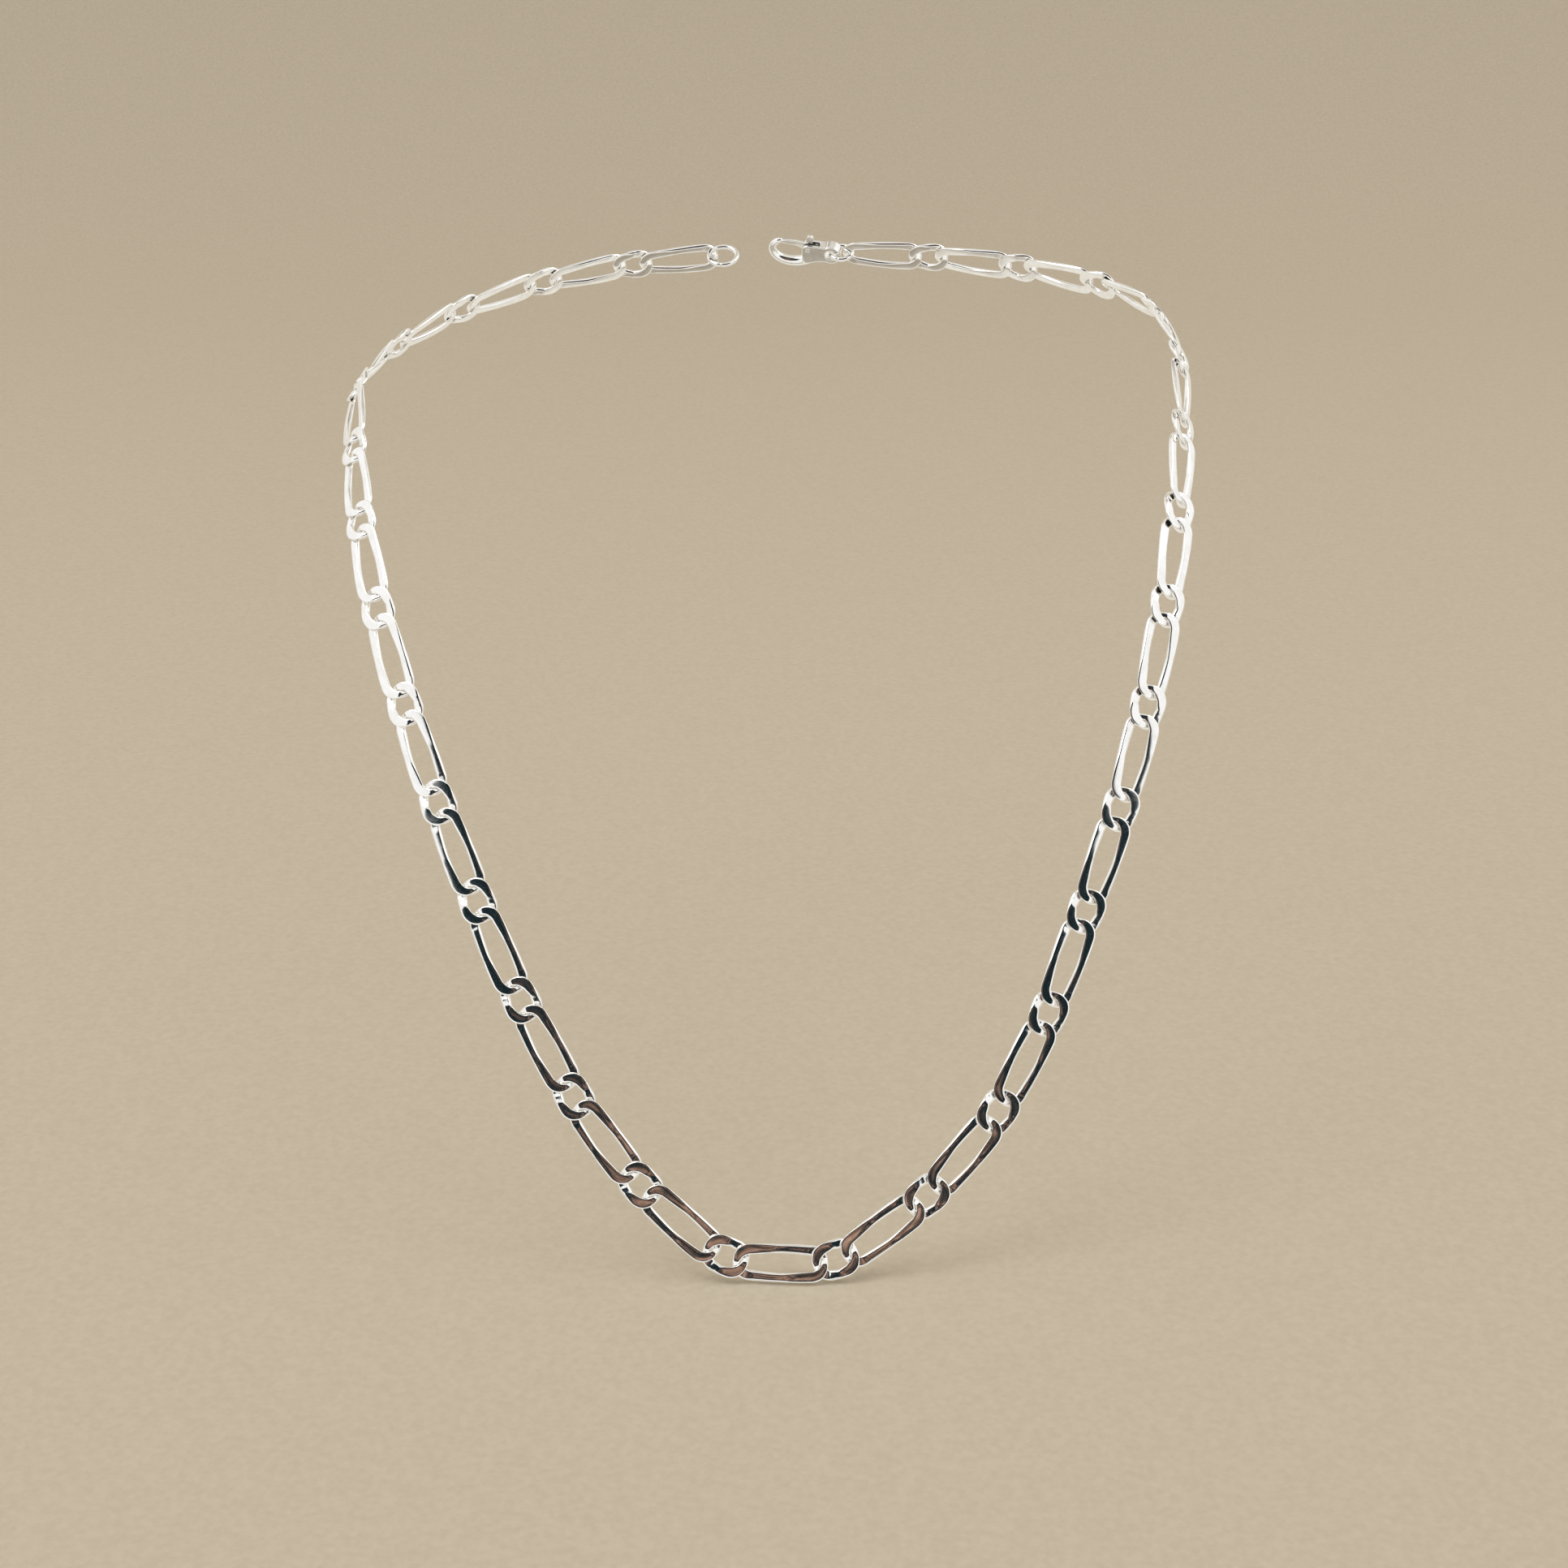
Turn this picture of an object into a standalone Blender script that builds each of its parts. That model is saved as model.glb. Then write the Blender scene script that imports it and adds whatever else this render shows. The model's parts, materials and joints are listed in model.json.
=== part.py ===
"""Figaro chain necklace: long and short twisted links in turn, closed by a lobster clasp.

Metres, +Z up. The chain lies as it does on a wearer who faces -Y, with the origin in the middle
of the opening that the neck goes through. Every link hangs on its neighbour by a hinge, so each
object's origin is the pivot where it meets the link before it, and the front link is the root.
"""

import math

import bmesh
import bpy
from mathutils import Matrix, Vector

MM = 0.001
WELD = 0.001 * MM  # points closer than this are one

# ---- chain: one long link and one short link make a pair ----
WIRE_RADIUS = 0.50 * MM
WIRE_SIDES_RESOLUTION = 1  # a six-sided wire
LONG_LENGTH = 13.55 * MM  # outer sizes of the two links
LONG_WIDTH = 5.1 * MM
SHORT_LENGTH = 6.70 * MM
SHORT_WIDTH = 5.3 * MM
TWIST_HEIGHT = 0.57 * MM  # how far a limb rises out of the link's plane beside its neighbour
CROSSING_ANGLE = math.radians(45)  # from a link's tip to where its neighbour crosses it
HALF_THICKNESS = 0.60 * MM  # both faces are pressed flat at this height
CONTACT_GAP = 0.16 * MM  # play between two links that hang in each other
LINKS_PER_SIDE = 30
SINGLE_LINKS = {"left": 22, "right": 24}  # the rest, behind the neck, are joined pairs
ARC_STEPS = 6
LONG_LIMB_STEPS = 3
SHORT_LIMB_STEPS = 1
BEAD_RADIUS = 0.40 * MM  # joins the two links of a back pair
BEAD_SIDES = 8
BEAD_RINGS = 5

# ---- end rings ----
RING_WIRE_RADIUS = 0.40 * MM
JUMP_RING_RADIUS = 1.80 * MM  # to the middle of the wire
END_RING_RADIUS = 2.40 * MM
RING_GAP = 0.12 * MM
RING_STEPS = 16

# ---- lobster clasp, with x from its eye to its nose and y across ----
EYE_HOLE_RADIUS = 1.00 * MM
EYE_RADIUS = 1.75 * MM
EYE_FLANK = math.radians(60)  # from +X to where the round of the eye meets the body's sides
EYE_STEPS = 10
BODY_THICKNESS = 2.0 * MM
SLOT_WIDTH = 1.0 * MM
TRIGGER_THICKNESS = 0.6 * MM
PIN_RADIUS = 0.30 * MM
PIN_HOLE_RADIUS = 0.42 * MM
PIN_LENGTH = 1.9 * MM
PIVOT_X = 3.9 * MM
PIVOT_Y = 0.9 * MM
CUTTER_DEPTH = 4.0 * MM  # of the tools that cut the eye and the pin hole, well past both faces
EYE_HOLE_SIDES = 16
PIN_SIDES = 12
HOOK_SIDES_RESOLUTION = 2  # an eight-sided wire
BODY_END = (  # mm: the body's outline past the eye, round the blunt end that carries the trigger
    (2.6, -1.6),
    (4.3, -2.0),
    (4.9, -1.3),
    (4.9, 1.0),
    (4.2, 1.75),
    (2.9, 1.7),
)
SLOT_OUTLINE = (  # mm: the pocket for the trigger's heel and its spring, open to the claw
    (1.85, -0.35),
    (2.6, -0.75),
    (4.0, -0.55),
    (5.6, -0.7),
    (5.6, 3.0),
    (1.85, 3.0),
)
HOOK_ROUTE = (  # x, y and wire radius in mm, from the body round the nose to the tip
    (2.6, -0.75, 0.85),
    (4.2, -1.65, 0.90),
    (5.9, -2.15, 0.90),
    (7.7, -2.10, 0.85),
    (9.2, -1.45, 0.78),
    (10.1, -0.30, 0.70),
    (10.1, 0.95, 0.62),
    (9.35, 1.85, 0.55),
    (8.75, 2.10, 0.45),
)
TRIGGER_OUTLINE = (  # mm from the pivot: heel, thumb piece, arm and tip
    (-0.75, -0.25),
    (-0.70, 0.55),
    (-0.95, 1.75),
    (-0.75, 2.35),
    (-0.20, 2.45),
    (0.20, 1.95),
    (0.55, 1.05),
    (2.2, 1.35),
    (4.35, 1.40),
    (4.45, 0.80),
    (2.4, 0.45),
    (0.65, -0.35),
    (0.0, -0.62),
)
SPRING_ROUTE = (  # mm from the pivot: a hairpin of wire lying behind the heel
    (-1.05, -0.95),
    (-1.60, -0.55),
    (-1.72, 0.10),
    (-1.45, 0.60),
)
SPRING_RADIUS = 0.13 * MM

# ---- route of the chain: a point in mm, and which way the flat of the chain faces there ----
RIGHT_ROUTE = (
    ((1.5, -94.0, -109.0), (0.00, -0.90, 0.44)),
    ((9.7, -93.7, -108.55), (0.02, -0.90, 0.44)),
    ((16.6, -91.6, -105.1), (0.05, -0.89, 0.45)),
    ((28.4, -85.8, -96.0), (0.10, -0.88, 0.46)),
    ((37.0, -78.4, -84.8), (0.16, -0.87, 0.47)),
    ((43.3, -70.8, -72.3), (0.22, -0.85, 0.48)),
    ((53.6, -55.3, -46.7), (0.30, -0.80, 0.52)),
    ((60.4, -37.0, -21.5), (0.48, -0.68, 0.55)),
    ((63.9, -13.0, -3.2), (0.84, -0.22, 0.48)),
    ((63.7, 3.0, 3.6), (0.78, -0.02, 0.62)),
    ((59.5, 17.0, 6.0), (0.70, 0.26, 0.66)),
    ((50.0, 28.2, 7.0), (0.62, 0.58, 0.52)),
    ((35.0, 36.4, 8.0), (0.40, 0.78, 0.48)),
    ((17.0, 40.2, 8.5), (0.16, 0.86, 0.48)),
    ((0.0, 41.0, 8.5), (0.00, 0.88, 0.47)),
    ((-17.0, 40.4, 8.0), (-0.15, 0.86, 0.48)),
)
LEFT_ROUTE = (
    ((1.5, -94.0, -109.0), (0.00, -0.90, 0.44)),
    ((-6.7, -93.45, -108.1), (-0.02, -0.90, 0.44)),
    ((-13.2, -91.0, -104.2), (-0.05, -0.89, 0.45)),
    ((-24.2, -84.7, -94.2), (-0.10, -0.88, 0.46)),
    ((-32.9, -77.2, -82.2), (-0.16, -0.87, 0.47)),
    ((-40.3, -69.5, -69.8), (-0.22, -0.85, 0.48)),
    ((-52.3, -52.5, -45.6), (-0.30, -0.80, 0.52)),
    ((-61.2, -33.0, -23.0), (-0.50, -0.66, 0.56)),
    ((-66.0, -6.0, -7.0), (-0.80, -0.22, 0.56)),
    ((-64.6, 8.0, -3.4), (-0.82, 0.06, 0.56)),
    ((-59.2, 20.0, -0.6), (-0.75, 0.37, 0.54)),
    ((-49.8, 30.0, 2.2), (-0.59, 0.61, 0.52)),
    ((-36.5, 37.5, 5.0), (-0.37, 0.78, 0.50)),
    ((-19.5, 41.0, 7.2), (-0.17, 0.86, 0.47)),
    ((-1.0, 41.2, 8.0), (0.00, 0.88, 0.47)),
    ((16.0, 40.0, 8.0), (0.15, 0.86, 0.48)),
)

SEARCH_STEP = 0.05  # of a route point
HALVINGS = 40

COLLECTION = "chain_necklace"
CUTTERS = "cutters"


# ---------------------------------------------------------------- scene and materials
def clear_scene():
    for obj in list(bpy.data.objects):
        bpy.data.objects.remove(obj, do_unlink=True)
    for name in (COLLECTION, CUTTERS):
        old = bpy.data.collections.get(name)
        if old:
            bpy.data.collections.remove(old)
        bpy.context.scene.collection.children.link(bpy.data.collections.new(name))


def material(name, colour, roughness, metallic=1.0):
    mat = bpy.data.materials.get(name) or bpy.data.materials.new(name)
    mat.use_nodes = True
    shader = mat.node_tree.nodes["Principled BSDF"]
    shader.inputs["Base Color"].default_value = (*colour, 1.0)
    shader.inputs["Roughness"].default_value = roughness
    shader.inputs["Metallic"].default_value = metallic
    return mat


def add_object(name, mesh, placement, collection=COLLECTION):
    obj = bpy.data.objects.new(name, mesh)
    bpy.data.collections[collection].objects.link(obj)
    obj.matrix_world = placement
    return obj


# ---------------------------------------------------------------- wire and plate
def in_metres(outline):
    return [(x * MM, y * MM) for x, y in outline]


def circle(radius, steps):
    turns = [2 * math.pi * step / steps for step in range(steps)]
    return [(radius * math.cos(angle), radius * math.sin(angle)) for angle in turns]


def wire_mesh(name, points, radius, closed, radii=None, resolution=WIRE_SIDES_RESOLUTION):
    """A round wire through the points, as a mesh: a closed loop, or a rod with filled ends."""
    curve = bpy.data.curves.new(name, "CURVE")
    curve.dimensions = "3D"
    curve.twist_mode = "Z_UP"
    curve.bevel_depth = radius
    curve.bevel_resolution = resolution
    curve.use_fill_caps = not closed
    spline = curve.splines.new("POLY")
    spline.points.add(len(points) - 1)
    for index, point in enumerate(points):
        spline.points[index].co = (*point, 1.0)
        spline.points[index].radius = radii[index] / radius if radii else 1.0
    spline.use_cyclic_u = closed
    return mesh_of_curve(name, curve)


def plate_mesh(name, outlines, thickness):
    """A flat plate: the first outline is its edge and any others are holes."""
    curve = bpy.data.curves.new(name, "CURVE")
    curve.dimensions = "2D"
    curve.fill_mode = "BOTH"
    curve.extrude = thickness / 2
    for outline in outlines:
        spline = curve.splines.new("POLY")
        spline.points.add(len(outline) - 1)
        for index, (x, y) in enumerate(outline):
            spline.points[index].co = (x, y, 0.0, 1.0)
        spline.use_cyclic_u = True
    return mesh_of_curve(name, curve)


def mesh_of_curve(name, curve):
    """The evaluated curve as a mesh with its caps welded on, faces out."""
    holder = bpy.data.objects.new(name, curve)
    bpy.context.scene.collection.objects.link(holder)
    bpy.context.view_layer.update()
    evaluated = holder.evaluated_get(bpy.context.evaluated_depsgraph_get())
    mesh = bpy.data.meshes.new_from_object(evaluated)
    mesh.name = name
    bpy.data.objects.remove(holder, do_unlink=True)
    shape = bmesh.new()
    shape.from_mesh(mesh)
    bmesh.ops.remove_doubles(shape, verts=shape.verts, dist=WELD)
    bmesh.ops.recalc_face_normals(shape, faces=shape.faces)
    shape.to_mesh(mesh)
    shape.free()
    return mesh


def cylinder_mesh(name, radius, depth, segments=PIN_SIDES):
    mesh = bpy.data.meshes.new(name)
    shape = bmesh.new()
    bmesh.ops.create_cone(
        shape, cap_ends=True, segments=segments, radius1=radius, radius2=radius, depth=depth
    )
    shape.to_mesh(mesh)
    shape.free()
    return mesh


def boolean(obj, operation, tool_mesh, tool_name, offset=Matrix.Identity(4)):
    """Joins or cuts the object with a mesh that lies in the object's own frame."""
    tool = add_object(tool_name, tool_mesh, obj.matrix_world @ offset, CUTTERS)
    tool.hide_render = True
    tool.display_type = "WIRE"
    modifier = obj.modifiers.new(tool_name, "BOOLEAN")
    modifier.operation = operation
    modifier.solver = "EXACT"
    modifier.object = tool


# ---------------------------------------------------------------- links
def link_centreline(length, width, limb_steps):
    """The wire's middle: an oval whose two ends are twisted the same way out of its plane.

    Beside each tip the lower limb stands towards +Z and the upper one towards -Z, and each limb
    passes from one side to the other between its two ends.
    """
    half_length = length / 2 - WIRE_RADIUS
    half_width = width / 2 - WIRE_RADIUS
    straight = half_length - half_width
    limb = 2 * straight + 2 * half_width * (math.pi / 2 - CROSSING_ANGLE)
    quarter = math.pi / 2
    half = []
    for step in range(ARC_STEPS + 1):
        angle = -quarter + math.pi * step / ARC_STEPS
        if abs(angle) < CROSSING_ANGLE:
            height = -math.sin(quarter * angle / CROSSING_ANGLE)
        else:
            along = half_width * (abs(angle) - CROSSING_ANGLE)
            height = -math.copysign(math.cos(math.pi * along / limb), angle)
        x = straight + half_width * math.cos(angle)
        half.append((x, half_width * math.sin(angle), TWIST_HEIGHT * height))
    for step in range(1, limb_steps):
        x = straight - 2 * straight * step / limb_steps
        along = half_width * (quarter - CROSSING_ANGLE) + straight - x
        height = -math.cos(math.pi * along / limb)
        half.append((x, half_width, TWIST_HEIGHT * height))
    return half + [(-x, -y, z) for x, y, z in half]


def link_mesh(name, length, width, limb_steps, start):
    """A link with its near pivot moved to the origin by start, pressed flat on both faces."""
    mesh = wire_mesh(name, link_centreline(length, width, limb_steps), WIRE_RADIUS, True)
    for vertex in mesh.vertices:
        vertex.co.z = max(-HALF_THICKNESS, min(HALF_THICKNESS, vertex.co.z))
        vertex.co.x += start
    return mesh


def reach(length):
    """From a link's middle to either of its pivots."""
    return length / 2 - 2 * WIRE_RADIUS - CONTACT_GAP / 2


LONG_REACH = reach(LONG_LENGTH)
SHORT_REACH = reach(SHORT_LENGTH)


# ---------------------------------------------------------------- route
def along_route(route, position):
    """Point and facing at a position counted in route points, on a smooth curve through them."""
    last = len(route) - 1
    index = min(int(position), last - 1)
    t = position - index
    rows = [route[max(0, min(last, index + k))] for k in (-1, 0, 1, 2)]
    if index == 0:  # the two strands leave the front link in line with each other
        rows[0] = (LEFT_ROUTE if route is RIGHT_ROUTE else RIGHT_ROUTE)[1]
    weights = (
        -0.5 * t + t * t - 0.5 * t**3,
        1 - 2.5 * t * t + 1.5 * t**3,
        0.5 * t + 2 * t * t - 1.5 * t**3,
        -0.5 * t * t + 0.5 * t**3,
    )
    point = sum((Vector(row[0]) * w for row, w in zip(rows, weights)), Vector())
    facing = sum((Vector(row[1]) * w for row, w in zip(rows, weights)), Vector())
    return point * MM, facing.normalized()


def step_along(route, start_point, position, chord):
    """The route position that lies one chord further on than start_point."""
    low, high = position, position
    while (along_route(route, high)[0] - start_point).length < chord:
        high += SEARCH_STEP
    for _ in range(HALVINGS):
        middle = (low + high) / 2
        if (along_route(route, middle)[0] - start_point).length < chord:
            low = middle
        else:
            high = middle
    return high


def frame(origin, forward, facing):
    """A placement with X along the chain, Z out of the flat of the chain and Y across it."""
    x = forward.normalized()
    z = (facing - x * facing.dot(x)).normalized()
    y = z.cross(x)
    placement = Matrix((x, y, z)).transposed().to_4x4()
    placement.translation = origin
    return placement


def front_frame():
    point, facing = along_route(RIGHT_ROUTE, 0.0)
    heading = Vector(RIGHT_ROUTE[1][0]) - Vector(LEFT_ROUTE[1][0])
    return frame(point, heading, facing)


def strand_chords(side):
    """The length between pivots of each piece of a strand, from the front to the neck."""
    single = SINGLE_LINKS[side]
    chords = [2 * (SHORT_REACH if n % 2 == 0 else LONG_REACH) for n in range(single)]
    pairs = (LINKS_PER_SIDE - single) // 2
    return chords + [2 * (SHORT_REACH + LONG_REACH)] * pairs


def strand_frames(side):
    """Placements of a strand's pieces and of its free end, with X away from the front link."""
    route = RIGHT_ROUTE if side == "right" else LEFT_ROUTE
    direction = 1 if side == "right" else -1
    front = front_frame()
    pivot = front @ Vector((direction * LONG_REACH, 0, 0))
    position = step_along(route, front.translation, 0.0, LONG_REACH)
    frames = []
    for chord in strand_chords(side):
        following = step_along(route, pivot, position, chord)
        end, _ = along_route(route, following)
        _, facing = along_route(route, (position + following) / 2)
        heading = (end - pivot).normalized()
        frames.append(frame(pivot, heading, facing))
        pivot = pivot + heading * chord
        position = following
    _, facing = along_route(route, position)
    frames.append(frame(pivot, frames[-1].col[0].xyz, facing))
    return frames


# ---------------------------------------------------------------- chain
def build_chain():
    silver = material("polished_silver", (0.93, 0.92, 0.90), 0.12)
    long_mesh = link_mesh("long_link", LONG_LENGTH, LONG_WIDTH, LONG_LIMB_STEPS, LONG_REACH)
    short_mesh = link_mesh("short_link", SHORT_LENGTH, SHORT_WIDTH, SHORT_LIMB_STEPS, SHORT_REACH)
    front_mesh = link_mesh("front_link", LONG_LENGTH, LONG_WIDTH, LONG_LIMB_STEPS, 0.0)
    for mesh in (long_mesh, short_mesh, front_mesh):
        mesh.materials.append(silver)
    add_object("front_link", front_mesh, front_frame())
    for side in ("left", "right"):
        frames = strand_frames(side)
        single = SINGLE_LINKS[side]
        for index in range(single):
            kind = "short" if index % 2 == 0 else "long"
            mesh = short_mesh if kind == "short" else long_mesh
            add_object(f"{side}_{kind}_link_{index + 1:02d}", mesh, frames[index])
        for index in range(single, len(frames) - 1):
            number = single + 2 * (index - single) + 1
            name = f"{side}_back_pair_{number:02d}_{number + 1:02d}"
            pair = add_object(name, short_mesh.copy(), frames[index])
            far = Matrix.Translation((2 * SHORT_REACH, 0, 0))
            boolean(pair, "UNION", bead_mesh(), name + "_bead", far)
            boolean(pair, "UNION", long_mesh.copy(), name + "_long", far)


def bead_mesh():
    mesh = bpy.data.meshes.new("bead")
    shape = bmesh.new()
    bmesh.ops.create_uvsphere(
        shape, u_segments=BEAD_SIDES, v_segments=BEAD_RINGS, radius=BEAD_RADIUS
    )
    shape.to_mesh(mesh)
    shape.free()
    return mesh


# ---------------------------------------------------------------- rings
def ring_mesh(name, radius):
    """A ring in its own XZ plane whose near pivot, on the link it hangs in, is the origin."""
    points = [(x, y, 0.0) for x, y in circle(radius, RING_STEPS)]
    mesh = wire_mesh(name, points, RING_WIRE_RADIUS, True)
    mesh.transform(Matrix.Rotation(math.pi / 2, 4, "X"))
    mesh.transform(Matrix.Translation((radius + ring_offset(), 0, 0)))
    return mesh


def ring_offset():
    """From the pivot to the near side of a ring's wire: half the play back from the contact."""
    return -(RING_WIRE_RADIUS + RING_GAP / 2)


def ring_frame(side):
    """A strand's free end, with the pivot moved to where a ring's wire meets the last link."""
    end = strand_frames(side)[-1].copy()
    end.translation = end @ Vector(((CONTACT_GAP - RING_GAP) / 2, 0, 0))
    return end


def build_rings():
    silver = material("ring_silver", (0.90, 0.89, 0.87), 0.16)
    for name, side, radius in (
        ("jump_ring", "right", JUMP_RING_RADIUS),
        ("end_ring", "left", END_RING_RADIUS),
    ):
        mesh = ring_mesh(name, radius)
        mesh.materials.append(silver)
        add_object(name, mesh, ring_frame(side))


# ---------------------------------------------------------------- clasp
def clasp_frame():
    """The clasp's eye, which hangs on the far side of the jump ring."""
    ring = ring_frame("right")
    eye = ring.copy()
    eye.translation = ring @ Vector((2 * JUMP_RING_RADIUS + ring_offset(), 0, 0))
    return eye


def body_outline():
    """Round the back of the eye, then along both sides of the blunt end."""
    turn = 2 * math.pi - 2 * EYE_FLANK
    angles = [EYE_FLANK + turn * step / EYE_STEPS for step in range(EYE_STEPS + 1)]
    around = [(EYE_RADIUS * math.cos(angle), EYE_RADIUS * math.sin(angle)) for angle in angles]
    return around + in_metres(BODY_END)


def build_clasp():
    silver = material("clasp_silver", (0.90, 0.89, 0.87), 0.18)
    steel = material("spring_steel", (0.60, 0.60, 0.60), 0.30)
    place = clasp_frame()
    pivot = place @ Matrix.Translation((PIVOT_X, PIVOT_Y, 0))

    plate = plate_mesh("clasp_body", [body_outline()], BODY_THICKNESS)
    body = add_object("clasp_body", plate, place)
    hook_points = [(x * MM, y * MM, 0.0) for x, y, _ in HOOK_ROUTE]
    hook_radii = [radius * MM for _, _, radius in HOOK_ROUTE]
    hook = wire_mesh("clasp_hook", hook_points, MM, False, hook_radii, HOOK_SIDES_RESOLUTION)
    eye = cylinder_mesh("eye", EYE_HOLE_RADIUS, CUTTER_DEPTH, EYE_HOLE_SIDES)
    slot = plate_mesh("slot", [in_metres(SLOT_OUTLINE)], SLOT_WIDTH)
    hole = cylinder_mesh("pin_hole", PIN_HOLE_RADIUS, CUTTER_DEPTH)
    boolean(body, "UNION", hook, "clasp_hook")
    boolean(body, "DIFFERENCE", eye, "eye_cutter")
    boolean(body, "DIFFERENCE", slot, "slot_cutter")
    boolean(body, "DIFFERENCE", hole, "pin_hole_cutter", Matrix.Translation((PIVOT_X, PIVOT_Y, 0)))

    outlines = [in_metres(TRIGGER_OUTLINE), circle(PIN_HOLE_RADIUS, PIN_SIDES)]
    trigger_plate = plate_mesh("clasp_trigger", outlines, TRIGGER_THICKNESS)
    trigger = add_object("clasp_trigger", trigger_plate, pivot)
    pin = add_object("trigger_pin", cylinder_mesh("trigger_pin", PIN_RADIUS, PIN_LENGTH), pivot)
    spring_points = [(x * MM, y * MM, 0.0) for x, y in SPRING_ROUTE]
    spring_wire = wire_mesh("trigger_spring", spring_points, SPRING_RADIUS, False)
    spring = add_object("trigger_spring", spring_wire, pivot)
    for obj in (body, trigger, pin):
        obj.data.materials.append(silver)
    spring.data.materials.append(steel)


clear_scene()
build_chain()
build_rings()
build_clasp()
bpy.context.view_layer.update()
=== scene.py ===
"""The looks of a Figaro chain necklace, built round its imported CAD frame.

Every link, ring and clasp piece is modelled afresh at the place its CAD node holds and rides on
that node's body. Lengths are in metres, and the frame is the CAD's: +Z up, the wearer facing -Y.
"""

import json
import math

import bmesh
import bpy
import numpy as np
from mathutils import Matrix, Vector

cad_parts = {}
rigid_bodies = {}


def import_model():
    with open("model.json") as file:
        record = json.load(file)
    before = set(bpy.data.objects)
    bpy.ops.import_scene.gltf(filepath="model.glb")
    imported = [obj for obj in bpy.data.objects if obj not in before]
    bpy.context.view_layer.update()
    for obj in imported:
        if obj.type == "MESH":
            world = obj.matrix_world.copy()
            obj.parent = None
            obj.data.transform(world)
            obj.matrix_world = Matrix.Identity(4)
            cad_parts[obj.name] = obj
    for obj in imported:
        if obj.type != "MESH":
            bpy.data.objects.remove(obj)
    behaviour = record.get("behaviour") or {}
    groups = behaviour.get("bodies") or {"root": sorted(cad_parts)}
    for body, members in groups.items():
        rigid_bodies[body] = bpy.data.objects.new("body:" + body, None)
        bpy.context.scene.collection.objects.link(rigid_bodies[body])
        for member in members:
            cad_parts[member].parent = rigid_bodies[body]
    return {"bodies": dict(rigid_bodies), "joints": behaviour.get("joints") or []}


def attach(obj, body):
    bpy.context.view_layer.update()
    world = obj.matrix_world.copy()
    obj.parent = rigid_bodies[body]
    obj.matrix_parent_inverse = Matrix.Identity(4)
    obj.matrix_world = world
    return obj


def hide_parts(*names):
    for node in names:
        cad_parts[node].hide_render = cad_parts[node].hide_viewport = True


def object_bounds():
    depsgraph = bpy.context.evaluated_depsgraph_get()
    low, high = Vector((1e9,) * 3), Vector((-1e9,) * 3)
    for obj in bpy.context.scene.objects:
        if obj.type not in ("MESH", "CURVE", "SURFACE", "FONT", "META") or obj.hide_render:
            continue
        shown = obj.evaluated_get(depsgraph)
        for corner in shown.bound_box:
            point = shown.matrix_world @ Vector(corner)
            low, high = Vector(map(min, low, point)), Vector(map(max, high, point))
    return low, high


MM = 0.001

# ---- links, with the sizes of the CAD ----
WIRE_RADIUS = 0.50 * MM
WIRE_SWELL = 0.04 * MM  # the real wire is rounder than the CAD's six-sided one
LONG_LENGTH, LONG_WIDTH = 13.55 * MM, 5.1 * MM
SHORT_LENGTH, SHORT_WIDTH = 6.70 * MM, 5.3 * MM
WIRE = WIRE_RADIUS + WIRE_SWELL
CROSSING_ANGLE = math.radians(45)
TIP_HOLD = 1.5  # how much later than a sine the wire dives under its neighbour at a tip
# each link's size, twist, height of its pressed faces, outward bow of its limbs, and how much
# longer than a cosine a limb stays level
LONG_SHAPE = (LONG_LENGTH, LONG_WIDTH, 0.43 * MM, 0.48 * MM, 0.18 * MM, -0.20)
SHORT_SHAPE = (SHORT_LENGTH, SHORT_WIDTH, 0.39 * MM, 0.43 * MM, 0.10 * MM, 0.25)
FINE_STEPS = 400  # of the middle line, along each end and each limb, before it is spaced evenly
DENT_START = 0.55  # share of the twist's height at which the neighbour's dent begins
DENT_GAP = 0.08 * MM  # left between a dent and the neighbour's wire
LONG_REACH, SHORT_REACH = 5.695 * MM, 2.27 * MM  # from a link's middle to its pivots
FLAT_ROUNDING = 0.022 * MM  # how softly the rolled faces turn into the round wire
PRESS_ROUNDING = 0.06 * MM  # and the faces pressed flat over the crossings, which are domed a little
LIMB_FLAT = 0.43 * MM  # the wire itself is rolled a little flat, at this height from its middle
PRESSED_SPREAD = 0.42  # how much wider the wire grows where it is pressed thin
LIMB_SPREAD = 0.15  # and along the limbs, where it is only rolled
CROSSING_Y = 1.45 * MM  # from a link's axis to where its neighbour crosses it
LIMB_START, LIMB_FULL = 1.1 * MM, 1.9 * MM  # from a link's axis, where the limbs begin
LONG_SAMPLES, SHORT_SAMPLES = 120, 80  # sections round a link
STEEPEST = 0.9  # sine of the steepest angle at which a section's flat may start
SIDE_STEPS = 6  # a section has four sides of this many steps: top, bottom and the two flanks
FRONT_FACING = Vector((0.0, -0.90, 0.44))  # out of the front link's face

# ---- rings and clasp, with the sizes of the CAD ----
RING_WIRE_RADIUS = 0.40 * MM
JUMP_RING_RADIUS = 1.80 * MM
END_RING_RADIUS = 2.40 * MM
RING_PIVOT = 0.46 * MM  # from a ring's pivot back to the middle of its wire
RING_STEPS, RING_SIDES = 96, 20
RING_SEAM = math.radians(1.2)  # the gap between the two ends of a ring's wire
SEAM_SHARES = (0.86, 0.965)  # of the wire's radius, at its cut end and one step in from there
RING_TURNS = {"jump_ring": 75, "end_ring": 105}  # degrees from the pivot to the seam
BODY_THICKNESS = 2.0 * MM
SLOT_WIDTH = 1.0 * MM
TRIGGER_THICKNESS = 0.6 * MM
PIN_RADIUS = 0.30 * MM
PIN_LENGTH = 1.9 * MM
EYE_RADIUS = 1.75 * MM
EYE_HOLE_RADIUS = 1.00 * MM
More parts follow.
